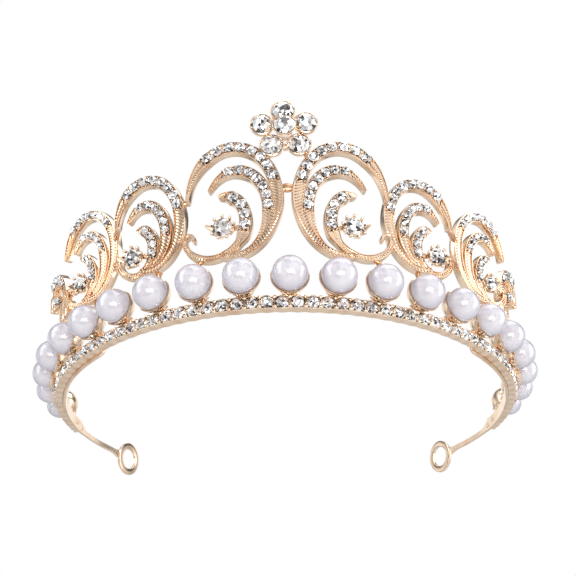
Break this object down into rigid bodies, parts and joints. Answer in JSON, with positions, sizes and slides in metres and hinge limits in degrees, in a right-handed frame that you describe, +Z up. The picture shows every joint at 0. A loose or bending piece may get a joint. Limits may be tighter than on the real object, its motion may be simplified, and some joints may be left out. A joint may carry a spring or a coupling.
{
  "type": "tiara",
  "caption": "Bridal tiara: a stone-set curved rail with a row of pearls, graded wave scrolls and a stone flower on top, with flat end loops.",
  "frame": {"origin": "middle of the bounding box on the surface the part stands on", "axes": "+X to the wearer's left seen from the front, -Y the front of the tiara, +Z up"},
  "size_m": [0.1436, 0.1105, 0.0604],
  "materials": {
    "rose_gold": "polished rose gold plate",
    "crystal": "cut, foil-backed clear crystal",
    "pearl": "pearlescent lacquer"
  },
  "bodies": {
    "root": {"band_rail": "rose_gold", "band_stones": "crystal", "side_strip_left": "rose_gold", "side_strip_right": "rose_gold", "end_ring_left": "rose_gold", "end_ring_right": "rose_gold", "pearl_cups": "rose_gold", "pearl_01": "pearl", "pearl_02": "pearl", "pearl_03": "pearl", "pearl_04": "pearl", "pearl_05": "pearl", "pearl_06": "pearl", "pearl_07": "pearl", "pearl_08": "pearl", "pearl_09": "pearl", "pearl_10": "pearl", "pearl_11": "pearl", "pearl_12": "pearl", "pearl_13": "pearl", "pearl_14": "pearl", "pearl_15": "pearl", "pearl_16": "pearl", "pearl_17": "pearl", "pearl_18": "pearl", "pearl_19": "pearl", "pearl_20": "pearl", "pearl_21": "pearl", "scroll_1_left": "rose_gold", "scroll_2_left": "rose_gold", "scroll_3_left": "rose_gold", "scroll_4_left": "rose_gold", "scroll_1_right": "rose_gold", "scroll_2_right": "rose_gold", "scroll_3_right": "rose_gold", "scroll_4_right": "rose_gold", "scroll_1_left_stones": "crystal", "scroll_2_left_stones": "crystal", "scroll_3_left_stones": "crystal", "scroll_4_left_stones": "crystal", "scroll_1_right_stones": "crystal", "scroll_2_right_stones": "crystal", "scroll_3_right_stones": "crystal", "scroll_4_right_stones": "crystal", "setting_1_left": "rose_gold", "setting_2_left": "rose_gold", "setting_3_left": "rose_gold", "setting_1_right": "rose_gold", "setting_2_right": "rose_gold", "setting_3_right": "rose_gold", "solitaire_1_left": "crystal", "solitaire_2_left": "crystal", "solitaire_3_left": "crystal", "solitaire_1_right": "crystal", "solitaire_2_right": "crystal", "solitaire_3_right": "crystal", "flower_cups": "rose_gold", "flower_petal_stones": "crystal", "flower_centre_stone": "crystal", "solder_links": "rose_gold"}
  },
  "joints": []
}
